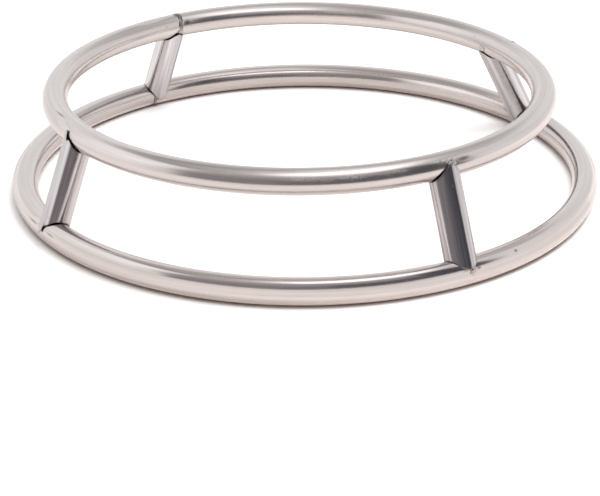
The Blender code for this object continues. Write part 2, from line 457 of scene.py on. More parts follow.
def darkened(graph, shade, heat, straw, brown, soot):
    """Tints a metal straw and then brown where it was hot, each over its range of heat, under soot and
    painted shade.
    """
    finish = bpy.context.scene.wok_ring_finish
    shade = graph.mix(graph.spread(heat, *straw, 0.0, 0.75), shade, finish.straw_colour)
    shade = graph.mix(graph.spread(heat, *brown, 0.0, 0.85), shade, finish.brown_colour)
    return graph.mix(soot, shade, finish.bore_colour)


# The lower hoop's shoulder: girths where it starts and ends, and how far it falls between them.
SHOULDER_GIRTHS = (22.0, 74.0)
SHOULDER_RISE = -0.69 * MM


def steel(name, colour, roughness, which=None, line_depth=0.25, line_fineness=2600.0,
          streak_tones=(0.93, 1.03)):
    """Stainless steel with draw lines along the tube, dull patches, marks, heat tint, soot and painted
    shade.
    """
    graph = Graph(bpy.data.materials.new(name))
    unbent = graph.stored("unbent", "Vector")
    fine = graph.noise(unbent, 35.0, line_fineness, detail=4.0, roughness=0.65)
    streak = graph.noise(unbent, 14.0, 620.0)
    cloud = graph.noise(unbent, 60.0, 160.0, detail=4.0, roughness=0.6)
    pore = graph.noise(unbent, 1500.0, 2100.0, detail=2.0, roughness=0.7)
    masks = mark_masks(graph, which)
    patch, line = masks["patch"], masks["line"]
    stain = graph.times(masks["stain"], graph.spread(cloud, 0.30, 0.60, 0.55, 0.95))
    scuff = graph.times(masks["scuff"], graph.spread(cloud, 0.38, 0.62, 0.25, 1.0))

    shade = graph.mix(graph.spread(streak, 0.34, 0.66), *(toned(colour, tones) for tones in streak_tones))
    shade = graph.mix(graph.spread(cloud, 0.45, 0.75, 0.0, 0.30), shade, toned(colour, (0.93, 0.90, 0.87)))
    shade = graph.mix(graph.times(patch, 0.75), shade, toned(colour, (1.09, 1.12, 1.13)))
    heat = graph.times(graph.stored("heat"), graph.spread(cloud, 0.25, 0.75, 0.75, 1.15))
    soot = graph.times(graph.stored("soot"), graph.spread(cloud, 0.2, 0.7, 0.7, 1.0))
    # Lines are painted dark along their creases; stains darken as soot.
    for dark_mark, darkness in ((line, 0.62), (stain, 0.80)):
        soot = graph.math("MAXIMUM", soot, graph.times(dark_mark, darkness))
    shade = darkened(graph, shade, heat, (0.10, 0.42), (0.38, 0.80), soot)

    dull = graph.math("MULTIPLY_ADD", graph.spread(fine, 0.3, 0.7), 0.06, roughness - 0.03)
    dull = graph.math("ADD", dull, graph.spread(cloud, 0.52, 0.80, 0.0, 0.06))
    dull = graph.layer(dull, (scuff, 0.10), (patch, 0.22), (heat, 0.15))

    height = graph.times(fine, line_depth)
    pitted = graph.times(scuff, pore)
    height = graph.layer(height, (streak, 0.35), (pitted, 3.0), (line, -2.5), (patch, 1.2))
    bump = graph.add("Bump", Strength=0.5, Distance=0.02 * MM, Height=height)
    if which == "lower":
        graph.plug(bump.inputs["Normal"], rolled_shoulder(graph))
    metal = 1.0
    if which:
        flecks = graph.times(masks["scuff"], graph.spread(pore, 0.44, 0.58))
        flecks = graph.times(flecks, graph.spread(cloud, 0.32, 0.48))
        metal = graph.math("MULTIPLY_ADD", flecks, -0.32, 1.0)
    return graph.show("BsdfPrincipled", Base_Color=shade, Metallic=metal, Roughness=dull,
                      Normal=bump.outputs[0])


def rolled_shoulder(graph):
    """The lower hoop's outer side is rolled a little flat, up to a tighter shoulder below its top."""
    split = graph.add("SeparateXYZ", Vector=graph.stored("unrolled", "Vector"))
    start, stop = (math.radians(girth) * hoop_tube() for girth in SHOULDER_GIRTHS)
    rise = graph.spread(split.outputs["Y"], start, stop, 0.0, SHOULDER_RISE)
    return graph.add("Bump", Strength=1.0, Distance=1.0, Height=rise).outputs[0]


def weld_metal(name, roughness):
    """Frozen weld pool: close ripples, pores and a tint that deepens in the hollows."""
    colour = bpy.context.scene.wok_ring_finish.weld_colour
    graph = Graph(bpy.data.materials.new(name))
    place = graph.stored("unbent", "Vector")
    ripple = graph.noise(place, 1700.0, 520.0)
    pore = graph.noise(place, 2600.0, 2600.0, roughness=0.65, shift=(3.0, 5.0, 1.0))
    tint = graph.times(graph.stored("heat"), graph.spread(ripple, 0.3, 0.7, 0.6, 1.2))
    shade = graph.mix(graph.spread(ripple, 0.35, 0.65), toned(colour, 0.78), toned(colour, 1.12))
    shade = darkened(graph, shade, tint, (0.15, 0.55), (0.50, 0.95), graph.stored("soot"))
    dull = graph.math("MULTIPLY_ADD", graph.spread(pore, 0.35, 0.7), 0.18, roughness - 0.06)
    height = graph.math("MULTIPLY_ADD", pore, 0.35, ripple)
    bump = graph.add("Bump", Strength=0.6, Distance=0.10 * MM, Height=height)
    return graph.show("BsdfPrincipled", Base_Color=shade, Metallic=1.0, Roughness=dull,
                      Normal=bump.outputs[0])


def painted_bore_shade():
    """Painted shade inside the struts' tube: a dark, dull colour with a grain."""
    dark = bpy.context.scene.wok_ring_finish.bore_colour
    graph = Graph(bpy.data.materials.new("painted bore shade"))
    grain = graph.noise(graph.stored("unbent", "Vector"), 300.0, 900.0, detail=4.0)
    shade = graph.mix(graph.spread(grain, 0.35, 0.7), dark, toned(dark, 2.4))
    bump = graph.add("Bump", Strength=0.5, Distance=0.05 * MM, Height=grain)
    return graph.show("BsdfPrincipled", Base_Color=shade, Metallic=0.35,
                      Roughness=graph.spread(grain, 0.3, 0.7, 0.62, 0.82), Normal=bump.outputs[0])


# Hoops and their seams

HOOP_STEPS = 720
HOOP_SIDES = 44
SEAM_HALF_GAP = 0.35 * MM
SEAM_ROWS = 15
SEAM_SIDES = 72
SEAM_REACH = 1.15 * MM  # from the middle of a seam's bead to its edge
SKEW_REACH = 9.0 * MM  # how soon a hoop's skewed end comes square again
HOOP_RIPPLE = 0.012 * MM
STRUT_RIPPLE = 0.010 * MM


def tube_ripple(run, girth, amplitude):
    """Slight waves that rolling leaves in a bent tube, in metres."""
    turn = np.radians(girth)
    wave = (np.sin(run / (6.1 * MM) + 1.3) * np.cos(turn * 2 + 0.4)
            + 0.7 * np.sin(run / (3.7 * MM) + 0.7 * np.sin(run / (11.0 * MM))) * np.cos(turn + 2.1)
            + 0.5 * np.sin(run / (9.7 * MM) + 2.9) * np.cos(turn * 3 + 1.2))
    return amplitude * wave / 2.2


def hoop_skin(which, bearing, girth, lift):
    """Points of a hoop's skin, lifted a little off the plain tube, and none of them below the ground."""
    points = hoop_surface(which, bearing, girth, lift)[0].reshape(-1, 3)
    points[:, 2] = np.maximum(points[:, 2], 0.0)
    return points


def build_hoop(which, material):
    tube = hoop_tube()
    _, radius, seam = hoop_sizes(which)
    half_gap = math.degrees(SEAM_HALF_GAP / radius)
    bearings = np.linspace(seam + half_gap, seam + 360.0 - half_gap, HOOP_STEPS)
    bearing, girth = np.meshgrid(bearings, ring_angles(HOOP_SIDES), indexing="ij")
    turn = np.radians(girth)
    run = np.radians(bearing - seam) * radius
    near = np.minimum(run, 2 * math.pi * radius - run)
    skew = SEAM_SKEW[which] * np.sin(turn) * np.exp(-near / SKEW_REACH)
    lift = tube_ripple(run, girth, HOOP_RIPPLE)
    points = hoop_skin(which, bearing + np.degrees(skew / radius), girth, lift)
    unbent = straightened(run, tube, turn)
    if which == "upper":
        unbent[..., 0] += UPPER_HOOP_GRAIN
    # The hoop's soot is painted shade under the struts' saddles.
    add_piece(f"{which}_hoop", points, tube_faces(HOOP_STEPS, HOOP_SIDES), [material], "ring_steel",
              [f"{which}_ring"], unbent=unbent,
              unrolled=np.stack([run, tube * turn, np.zeros_like(run)], axis=-1),
              heat=heat_at(points), soot=saddle_shade(points, which))


def build_seam(which, material):
    """A butt weld dressed nearly flush: a low crown with fine ripples across the tube's ends."""
    _, radius, seam = hoop_sizes(which)
    runs = np.linspace(-SEAM_REACH, SEAM_REACH, SEAM_ROWS)
    run, girth = np.meshgrid(runs, ring_angles(SEAM_SIDES), indexing="ij")
    turn = np.radians(girth)
    edge = 0.22 * MM * np.sin(turn * 5 + 0.7) + 0.12 * MM * np.sin(turn * 11 + 2.0)
    run = run + edge * (1.0 - np.abs(run) / (2.0 * SEAM_REACH))
    crown = 1.0 - ((run - edge) / SEAM_REACH) ** 2
    ripple = 0.02 * MM * np.sin(turn * 26 + 2.2 * np.cos(run / (0.6 * MM)))
    lift = 0.16 * MM * np.clip(crown, -0.2, 1.0) - 0.035 * MM + ripple * np.clip(crown, 0.0, 1.0)
    lift[0], lift[-1] = -0.15 * MM, -0.15 * MM
    bearing = seam + np.degrees((run + SEAM_SKEW[which] * np.sin(turn)) / radius)
    points = hoop_skin(which, bearing, girth, lift)
    patchy = 0.5 + 0.5 * np.sin(turn * 4 + 1.9) * np.cos(turn * 7)
    edge_soot = 0.30 + 0.34 * patchy + 0.34 * smooth_step(np.abs(run - edge), 0.25 * MM, 0.80 * MM)
    add_piece(f"{which}_hoop_seam", points, tube_faces(SEAM_ROWS, SEAM_SIDES), [material], "weld_steel",
              [f"{which}_ring_seam_weld"], unbent=straightened(run, hoop_tube(), turn),
              heat=np.maximum(heat_at(points), 0.75), soot=edge_soot)


# Struts

STRUT_AROUND = 144
STRUT_ROWS = 40
BORE_ROWS = 10
BEVEL = 0.10 * MM
BEVEL_STEPS = np.array([0.0, 0.3, 0.7, 1.0, 1.6, 4.0]) * BEVEL
WALL_STEPS = (0.3, 0.7, 1.0)  # across the wall at a strut's end, from its skin to its bore


def strut_axis(strut):
    """Foot point, unit vector from foot to head, length, and the strut's own outward and side axes."""
    foot = LOWER_CENTRE + outward(strut.foot_bearing) * hoop_sizes("lower")[1]
    head = UPPER_CENTRE + outward(strut.head_bearing) * hoop_sizes("upper")[1]
    length = np.linalg.norm(head - foot)
    along = (head - foot) / length
    out = outward((strut.foot_bearing + strut.head_bearing) / 2)
    out = out - along * (out @ along)
    out = out / np.linalg.norm(out)
    return foot, along, length, out, np.cross(along, out)


def slit_width(angle, quarters, nick):
    """Opening between a strut's end and the hoop round the saddle, in metres."""
    angle = wrapped(angle)
    width = np.take(quarters, (angle // 90.0).astype(int) % 4)
    swell = np.abs(np.sin(np.radians(angle * 2.0))) ** 0.75
    nick_angle, nick_width, nick_spread = nick
    return (0.03 + width * swell + nick_width * np.exp(-((angle - nick_angle) / nick_spread) ** 2)) * MM


def coped_end(which, start, direction, offsets, gap, ear):
    """How far along each line of the tube its coped end lies from the hoop's middle."""
    centre, radius, _ = hoop_sizes(which)

    def clearance(run):
        point = start + offsets + direction * run[:, None] - centre
        off = np.hypot(np.hypot(point[:, 0], point[:, 1]) - radius, point[:, 2])
        return off - hoop_tube() - gap

    low = np.zeros(len(offsets))
    high = np.full(len(offsets), 9.0 * MM)
    for _ in range(40):
        middle = (low + high) / 2
        outside = clearance(middle) > 0
        high = np.where(outside, middle, high)
        low = np.where(outside, low, middle)
    misses = clearance(np.zeros(len(offsets))) > 0
    run = np.where(misses, ear, np.maximum(high, ear))
    for _ in range(2):
        run = np.maximum(run, (np.roll(run, 1) + run + np.roll(run, -1)) / 3)
    return run


def strut_rows(skin_ends, bore_ends, wide, narrow):
    """Rows of points up a strut's skin and down its bore: run, radius and distance from the end."""
    low, high = skin_ends
    bore_low, bore_high = bore_ends
    start = BEVEL_STEPS[-1]
    between = np.linspace(0, 1, STRUT_ROWS - 2 * len(BEVEL_STEPS) + 2)[1:-1]
    runs = [low + step for step in BEVEL_STEPS]
    runs += [low + start + (high - low - 2 * start) * part for part in between]
    runs += [high - step for step in reversed(BEVEL_STEPS)]
    rows = []
    for run in runs:
        near_end = np.minimum(run - low, high - run)
        rows.append((run, wide - 0.6 * BEVEL * (1 - smooth_step(near_end, 0.0, BEVEL)), near_end))
    flat = np.zeros_like(low)

    def across_wall(skin, bore):
        return [(skin + (bore - skin) * part, flat + wide + (narrow - wide) * part, flat)
                for part in WALL_STEPS]

    rows += across_wall(high, bore_high)
    for part in np.linspace(0, 1, BORE_ROWS)[1:-1]:
        rows.append((bore_high + (bore_low - bore_high) * part, flat + narrow, flat))
    return rows + across_wall(low, bore_low)[::-1]


def strut_dark_bands(strut, angles, share_up, chance):
    """Darkening and heat tint of the bands that run a strut's length."""
    dark, warm = np.zeros_like(share_up), np.zeros_like(share_up)
    patchy = chance.uniform(0.75, 1.0, (len(share_up), len(strut.stains)))
    for number, (low_angle, high_angle, half, darkness, heat) in enumerate(strut.stains):
        there = low_angle + (high_angle - low_angle) * share_up
        share = 1 - smooth_step(np.abs(wrapped(angles - there)), half * 0.35, half)
        dark = np.maximum(dark, darkness * patchy[:, number, None] * share)
        warm = np.maximum(warm, heat * share)
    return dark, warm


def build_strut(index, strut, materials):
    sizes = bpy.context.scene.wok_ring_sizes
    foot, along, length, out, side = strut_axis(strut)
    head = foot + along * length
    angles = ring_angles(STRUT_AROUND)
    turn = np.radians(angles)
    spokes = np.cos(turn)[:, None] * out + strut.oval * np.sin(turn)[:, None] * side
    foot_gap = slit_width(angles, strut.foot_slits, strut.foot_nick)
    head_gap = slit_width(angles, strut.head_slits, strut.head_nick)
    ear = sizes.ear_end - strut.ear * MM + 0.5 * sizes.hoop_tube * np.abs(np.sin(turn))
    radii = sizes.strut_tube, sizes.strut_tube - sizes.strut_wall
    ends = []
    for radius in radii:
        low = coped_end("lower", foot, along, spokes * radius, foot_gap, ear + foot_gap)
        high = coped_end("upper", head, -along, spokes * radius, head_gap, ear + head_gap)
        ends.append((low, length - high))
    run, radius, near_end = (np.stack(part) for part in zip(*strut_rows(*ends, *radii)))
    radius = radius + tube_ripple(run * 2.0 + index * 0.05, angles, STRUT_RIPPLE)
    points = (foot + along * run[..., None] + spokes * radius[..., None]).reshape(-1, 3)
    dark, warm = strut_dark_bands(strut, angles, run / length, np.random.default_rng(index + STRUT_SEED))
    face_rows = np.repeat(np.arange(len(run)), STRUT_AROUND)
    # Faces of the bore, which take the painted shade.
    inside = (face_rows >= STRUT_ROWS) & (face_rows < len(run) - 2)
    add_piece(f"{strut.name}_strut", points, grid_faces(len(run), STRUT_AROUND, close_rows=True),
              materials, "strut_steel", [f"strut_{strut.name}"], inside,
              unbent=straightened(run + index * STRUT_GRAIN, radius, turn),
              heat=np.maximum(heat_at(points), warm.ravel()),
              soot=np.maximum(0.62 * (1 - smooth_step(near_end, 0.0, 0.55 * MM)), dark))


def saddle_shade(points, which):
    """Painted shade on a hoop where a strut's saddle lies on it."""
    soot = np.zeros(len(points))
    sizes = bpy.context.scene.wok_ring_sizes
    for strut in STRUTS:
        foot, along, length, _, _ = strut_axis(strut)
        start, direction = (foot, along) if which == "lower" else (foot + along * length, -along)
        local = points - start
        run = local @ direction
        off = np.linalg.norm(local - run[:, None] * direction, axis=1)
        # Painted shade where a strut's end covers the hoop, seen through the slits round it.
        under = (1 - smooth_step(off, sizes.strut_tube - 0.9 * MM, sizes.strut_tube - 0.1 * MM)) * (run > 0)
        soot = np.maximum(soot, 0.85 * under)
    return soot


# Tack welds and spatter

# Each strut's four tacks sit on the tips of its ears, in the order of the places. Each has its shift
# along the hoop in mm, girth in degrees, half length, half width and height in mm, heat, and how far
# it's ground, from 0 as welded to 1.
TACK_PLACES = (("foot", "outer"), ("foot", "inner"), ("head", "outer"), ("head", "inner"))
TACKS = {
    "front_right": (
        (1.3, 18, 1.5, 1.15, 0.90, 1.00, 0.0), (0.3, 170, 2.2, 1.5, 0.80, 0.50, 0.0),
        (1.2, 24, 1.9, 1.0, 0.36, 1.00, 0.0), (-0.4, 192, 2.2, 1.5, 0.80, 0.50, 0.0)),
    "back_right": (
        (-0.6, 10, 2.4, 1.6, 0.80, 0.35, 0.3), (0.5, 168, 2.1, 1.6, 0.80, 0.65, 0.0),
        (-0.5, 20, 2.6, 1.7, 0.70, 0.35, 0.4), (-1.4, 194, 1.9, 1.5, 0.60, 1.00, 0.0)),
    "back_left": (
        (0.4, 12, 2.4, 1.6, 0.80, 0.35, 0.3), (0.9, 174, 1.6, 1.2, 0.45, 0.75, 0.0),
        (0.5, 14, 2.4, 1.6, 0.70, 0.40, 0.4), (-0.9, 196, 1.6, 1.3, 0.60, 0.65, 0.0)),
    "front_left": (
        (-2.9, 15, 2.6, 1.7, 0.36, 0.05, 1.0), (0.2, 170, 2.2, 1.5, 0.80, 0.50, 0.0),
        (-3.3, 30, 3.0, 2.2, 0.34, 0.05, 1.0), (0.4, 190, 2.2, 1.5, 0.80, 0.50, 0.0)),
}
BEAD_RINGS = 26
BEAD_SIDES = 44
BEAD_SINK = 0.22 * MM  # how deep a bead's rim lies in the skin under it


def add_bead(name, which, bearing, girth, size, seed, material, heat, lumps, replaced=()):
    """Adds a low blob of metal that follows a hoop's skin: its middle stands a height above the skin."""
    length, width, height = np.array(size) * MM
    polar = np.linspace(0.0, 1.0, BEAD_RINGS)
    around = np.linspace(0.0, 2 * math.pi, BEAD_SIDES, endpoint=False)
    reach, spin = np.meshgrid(polar, around, indexing="ij")
    chance = np.random.default_rng(seed)
    wobble = 1.0
    for wave in (2, 3, 5, 7):
        wobble = wobble + chance.uniform(0.03, 0.09) * np.sin(spin * wave + chance.uniform(0, 6.28))
    u = reach * wobble * np.cos(spin)
    v = reach * wobble * np.sin(spin)
    crown = np.clip(1.0 - reach ** 2.3, 0.0, 1.0) ** 0.62
    rough = np.zeros_like(reach)
    for wave in (1.7, 3.1, 5.3):
        phase = chance.uniform(0, 6.28, 2)
        rough += np.sin(wave * 2.2 * u + phase[0]) * np.cos(wave * 2.0 * v + phase[1]) / wave
    ripple = 0.10 * np.cos(u * 11.0 + 2.2 * v * v) * (1 - reach)
    lift = height * (crown * (1.0 + lumps * (0.28 * rough + ripple))) - BEAD_SINK * reach ** 4
    there = bearing + np.degrees(u * length / hoop_sizes(which)[1])
    base, away = hoop_surface(which, there, girth + np.degrees(v * width / hoop_tube()))
    edge = np.hypot(u, v)
    add_piece(name, base + away * lift[..., None], dome_faces(BEAD_RINGS, BEAD_SIDES), [material],
              "weld_steel", replaced,
              unbent=np.stack([u * length, v * width, lift], axis=-1) + seed * BEAD_GRAIN,
              heat=np.clip(heat * (0.45 + 0.75 * smooth_step(edge, 0.35, 1.0)), 0.0, 1.0),
              soot=0.55 * smooth_step(edge, 0.80, 1.02) * (1.0 if lumps > 0.4 else 0.15))


# Droplets: hoop, bearing, girth, half length, half width and height in mm.
DROPLETS = (
    ("upper", 30.0, 43, 0.56, 0.46, 0.50), ("upper", 31.2, 33, 0.66, 0.50, 0.56),
    ("upper", 31.6, 44, 0.30, 0.26, 0.24), ("upper", 32.7, 39, 0.72, 0.56, 0.58),
    ("upper", 29.4, 38, 0.22, 0.20, 0.16), ("upper", 33.9, 47, 0.20, 0.18, 0.15),
    ("lower", 299.0, 88, 0.24, 0.22, 0.18), ("lower", 28.6, 20, 0.22, 0.20, 0.15),
    ("upper", 114.6, 72, 1.30, 0.90, 0.30), ("upper", 126.3, 150, 0.28, 0.24, 0.20),
    ("lower", 126.0, 130, 0.24, 0.20, 0.18), ("lower", 214.6, 150, 0.26, 0.22, 0.18),
    ("upper", 218.7, 158, 0.55, 0.40, 0.16),
)
# Droplets on a strut: strut, distance from the foot in mm, angle, half size and height in mm.
STRUT_DROPLETS = (
    ("front_left", 7.0, 14, 0.30, 0.22), ("front_left", 5.4, 26, 0.26, 0.20),
    ("front_left", 8.6, 6, 0.18, 0.12), ("front_right", 31.0, -8, 0.20, 0.14),
    ("front_right", 28.2, 3, 0.16, 0.10), ("back_right", 8.6, -150, 0.26, 0.18),
)
DROPLET_RINGS = 9
DROPLET_SIDES = 20
DROPLET_SINK = 0.05  # mm
SPATTER_HEAT = 0.42
SPATTER_LUMPS = 0.6


def add_strut_droplet(index, name, run, angle, size, height, material):
    """A small frozen drop of weld metal on a strut's skin."""
    foot, along, _, out, side = strut_axis(next(strut for strut in STRUTS if strut.name == name))
    spoke = math.cos(math.radians(angle)) * out + math.sin(math.radians(angle)) * side
    across = np.cross(along, spoke)
    skin = bpy.context.scene.wok_ring_sizes.strut_tube - DROPLET_SINK * MM
    middle = foot + along * run * MM + spoke * skin
    latitudes = np.linspace(0.0, math.pi * 0.62, DROPLET_RINGS)
    longitudes = np.linspace(0.0, 2 * math.pi, DROPLET_SIDES, endpoint=False)
    lat, lon = np.meshgrid(latitudes, longitudes, indexing="ij")
    shape = (np.sin(lat) * np.cos(lon))[..., None] * along * size * MM
    shape = shape + (np.sin(lat) * np.sin(lon))[..., None] * across * size * 0.9 * MM
    shape = shape + np.cos(lat)[..., None] * spoke * (height + DROPLET_SINK) * MM
    add_piece(f"spatter_strut_{index}", middle + shape, dome_faces(DROPLET_RINGS, DROPLET_SIDES), [material],
              "weld_steel", (), unbent=shape + index, heat=np.full(lat.shape, 0.35),
              soot=0.5 * smooth_step(lat, 1.0, 1.9))


# Stage

# Panels of the light tent, painted over one another: bearings from and to, heights from and to in
# degrees, softness, glow at the bottom and top, and tint. Bearing 0 is the front, 90 the right.
WHITE = (1.0, 1.0, 1.0)
CLEAR = (0.99, 1.0, 1.01)
COOL = (1.03, 0.965, 1.01)
SLATE = (0.95, 0.97, 1.08)
TENT_GLOW = 1.0
TENT_PANELS = (
    (-180, -60, 22, 52, 8, 1.05, 1.05, CLEAR),
    (-104, -60, 22, 52, 9, 1.30, 1.30, CLEAR),
    (-180, -60, -20, 22, 8, 0.98, 0.98, CLEAR),
    (-104, -60, -20, 22, 9, 1.14, 1.14, CLEAR),
    (70, 170, -20, 48, 8, 0.97, 0.97, CLEAR),
    (-110, -58, 52, 82, 9, 0.58, 0.58, WHITE),
    (-178, -108, 48, 80, 9, 0.50, 0.46, WHITE),
    (-112, -50, 53, 64, 6, 0.42, 0.42, WHITE),
    (60, 178, 49, 61, 6, 0.66, 0.66, CLEAR),
    (96, 196, 37, 64, 9, 0.66, 0.62, WHITE),
    (-48, 66, -14, 30, 5, 0.20, 0.24, COOL),
    (-46, -8, -14, 32, 7, 0.28, 0.31, COOL),
    (-52, 66, 24, 54, 7, 0.27, 0.56, COOL),
    (8, 66, -14, 32, 6, 0.13, 0.16, SLATE),
    (44, 66, -6, 50, 5, 0.07, 0.12, SLATE),
    (-60, -8, 54, 90, 8, 0.56, 0.62, WHITE),
    (-44, -8, 64, 82, 6, 0.80, 0.80, WHITE),
    (-28, -8, 62, 84, 6, 1.20, 1.20, WHITE),
    (-18, -8, 61, 85, 6, 1.70, 1.70, WHITE),
    (-8, 80, 60, 83, 5, 2.20, 2.20, WHITE),
    (-8, 80, 83, 91, 3, 0.90, 0.70, WHITE),
    (80, 128, 65, 79, 6, 1.55, 1.55, WHITE),
)
TENT_HALF = (0.42, 0.36, 0.56)  # half breadth, half depth and height
TENT_POWER = 6  # the higher, the squarer the tent
TENT_ROWS = 61
TENT_COLUMNS = 180
KICKER_RADIUS = 0.1245
KICKER_BEARINGS = np.linspace(-76, 76, 77)
KICKER_HEIGHTS = np.array([0.0015, 0.0080, 0.0105])
KICKER_TINT = (1.0, 0.97, 0.955)
LAMP_PLACE = (0.38, -0.02, 1.10)


def tent_colour(bearing, height):
    """Glow of the tent's wall or roof in a direction from the stand's middle."""
    glow = np.full((*bearing.shape, 3), TENT_GLOW)
    for start, stop, low, high, soft, dim, bright, tint in TENT_PANELS:
        middle, half = (start + stop) / 2, (stop - start) / 2
        off = np.abs(wrapped(bearing - middle))
        share = 1 - smooth_step(off, half - soft / 2, half + soft / 2)
        share = share * smooth_step(height, low - soft / 2, low + soft / 2)
        share = share * (1 - smooth_step(height, high - soft / 2, high + soft / 2))
        level = dim + (bright - dim) * np.clip((height - low) / (high - low), 0.0, 1.0)
        glow = glow + (level[..., None] * np.array(tint) - glow) * share[..., None]
    return glow


def add_reflector(name, points, glow, closed):
    """A panel of the tent, which only the metal sees."""
    rows, columns = glow.shape[:2]
    mesh = bpy.data.meshes.new(name)
    faces = grid_faces(rows, columns, close_columns=closed)
    mesh.from_pydata(points.reshape(-1, 3).tolist(), [], faces)
    stored = mesh.attributes.new("glow", "FLOAT_VECTOR", "POINT")
    stored.data.foreach_set("vector", glow.astype(np.float32).ravel())
    graph = Graph(bpy.data.materials.new(name))
    material = graph.show("Emission", Color=graph.stored("glow", "Vector"), Strength=1.0)
    material.cycles.emission_sampling = "NONE"
    mesh.materials.append(material)
    panel = add_object(name, mesh)
    for ray in ("camera", "diffuse", "transmission", "volume_scatter", "shadow"):
        setattr(panel, f"visible_{ray}", False)


def build_tent():
    heights = np.linspace(0.2, 90.0, TENT_ROWS)
    height, bearing = np.meshgrid(heights, ring_angles(TENT_COLUMNS), indexing="ij")
    rise = np.radians(height)
    ray = np.cos(rise)[..., None] * outward(bearing) + np.sin(rise)[..., None] * UP
    squareness = ((np.abs(ray) / np.array(TENT_HALF)) ** TENT_POWER).sum(axis=-1)
    points = ray * (squareness ** (-1 / TENT_POWER))[..., None]
    add_reflector("light_tent", points, tent_colour(bearing, height), True)


def build_kicker():
    """A low white strip close in front, which brightens the outer side of the lower hoop."""
    bearing, height = np.meshgrid(KICKER_BEARINGS, KICKER_HEIGHTS, indexing="ij")
    points = outward(bearing) * KICKER_RADIUS
    points[..., 2] = height
    glow = np.where(height > 0.01, 0.95, 1.10)[..., None] * np.array(KICKER_TINT)
    add_reflector("front_kicker", points, glow, False)


def seen_rays(graph):
    """The kinds of ray, and 1 for those by which the camera, metal or glass sees a thing."""
    rays = graph.add("LightPath").outputs
    seen = graph.math("MAXIMUM", rays["Is Camera Ray"], rays["Is Glossy Ray"])
    return rays, graph.math("MAXIMUM", seen, rays["Is Transmission Ray"])


# How much lighter than its own colour the floor paper shows: to the camera, in metal, and in metal
# that all but touches it, where the lift is painted light against the paper's shade. The last colour is
# the line of shade painted where metal meets the paper.
PAPER_SEEN = (1.32, 1.32, 1.32)
PAPER_IN_METAL = (1.04, 1.0, 0.985)
PAPER_NEAR_METAL = (1.85, 1.78, 1.74)
CONTACT_SHADE = (0.20, 0.15, 0.13)
CONTACT_REACH = 3.0 * MM
FLOOR_HALF = 3.0
FLOOR_DROP = 0.03 * MM


def build_floor(studio):
    graph = Graph(bpy.data.materials.new("floor paper"))
    rays, seen = seen_rays(graph)
    grain = graph.noise(graph.add("TexCoord").outputs["Object"], 900.0, 900.0, detail=2.0)
    shade = graph.mix(graph.spread(grain, 0.3, 0.7), studio.floor_colour, toned(studio.floor_colour, 0.99))
    open_sky = graph.add("AmbientOcclusion", {"samples": 8}, Distance=CONTACT_REACH).outputs["AO"]
    # Painted light: where little sky is open, the paper shows lighter in metal.
    mirrored = graph.mix(graph.spread(open_sky, 0.25, 0.85), PAPER_NEAR_METAL, PAPER_IN_METAL)
    bright = graph.mix(rays["Is Camera Ray"], mirrored, PAPER_SEEN)
    shade = graph.mix(1.0, shade, graph.mix(seen, (1.0, 1.0, 1.0), bright), "MULTIPLY")
    # Painted shade: a dark line where metal meets the paper, for the camera.
    hidden = graph.spread(open_sky, 0.12, 0.62, 0.90, 0.0)
    shade = graph.mix(graph.times(hidden, rays["Is Camera Ray"]), shade, CONTACT_SHADE)
    mesh = bpy.data.meshes.new("floor")
    corners = [(-1, -1), (1, -1), (1, 1), (-1, 1)]
    mesh.from_pydata([(x * FLOOR_HALF, y * FLOOR_HALF, 0) for x, y in corners], [], [(0, 1, 2, 3)])
    mesh.materials.append(graph.show("BsdfDiffuse", Color=shade))
    floor = add_object("floor", mesh)
    floor.location.z = -FLOOR_DROP


def build_world(studio):
    graph = Graph(bpy.data.worlds.new("white sky"))
    _, seen = seen_rays(graph)
    strength = graph.math("MULTIPLY_ADD", seen, 1.0 - studio.sky, studio.sky)
    world = graph.show("Background", Color=(1.0, 1.0, 1.0), Strength=strength)
    bpy.context.scene.world = world


def build_lamp(studio):
    light = bpy.data.lights.new("soft_lamp", "AREA")
    light.shape = "SQUARE"
    light.size = studio.lamp_size
    light.energy = studio.lamp_power
    lamp = add_object("soft_lamp", light)
    lamp.location = LAMP_PLACE
    lamp.rotation_euler = (-Vector(LAMP_PLACE)).to_track_quat("-Z", "Y").to_euler()
    lamp.visible_glossy = False


# Camera: distance from the lower hoop's middle, how high it stands seen from there, how far it
# looks down, its turn and its roll, in metres and radians, and its lens in mm.
HOOP_MIDDLE = Vector((0.0, 0.0, 0.005))
CAMERA = (0.74045, 0.3924, 0.4364, -0.0032, 0.0068)
LENS = 108.83


def build_camera():
    data = bpy.data.cameras.new("camera")
    data.lens = LENS
    data.sensor_width = 36.0
    data.sensor_fit = "HORIZONTAL"
    data.clip_start = 0.01
    camera = add_object("camera", data)
    distance, rise, pitch, turn, roll = CAMERA
    place = Vector((0.0, -math.cos(rise), math.sin(rise))) * distance + HOOP_MIDDLE
    camera.matrix_world = (
        Matrix.Translation(place) @ Matrix.Rotation(-turn, 4, "Z")
        @ Matrix.Rotation(math.pi / 2 - pitch, 4, "X") @ Matrix.Rotation(-roll, 4, "Z"))
    bpy.context.scene.camera = camera


# Operators

class WOKRING_OT_hoops(Operator):
    """Bend the upper and lower hoops"""
    bl_idname = "wok_ring.hoops"
    bl_label = "Hoops"

    def execute(self, context):
        finish = context.scene.wok_ring_finish
        for which, wear in (("lower", -0.03), ("upper", 0.03)):
            material = steel(f"{which} hoop steel", finish.hoop_colour, finish.hoop_roughness + wear, which)
            build_hoop(which, material)
        return {"FINISHED"}


class WOKRING_OT_seams(Operator):
    """Close each hoop with its dressed butt weld"""
    bl_idname = "wok_ring.seams"
    bl_label = "Seam welds"

    def execute(self, context):
        finish = context.scene.wok_ring_finish
        material = weld_metal("seam weld", finish.weld_roughness - 0.04)
        for which in ("lower", "upper"):
            build_seam(which, material)
        return {"FINISHED"}


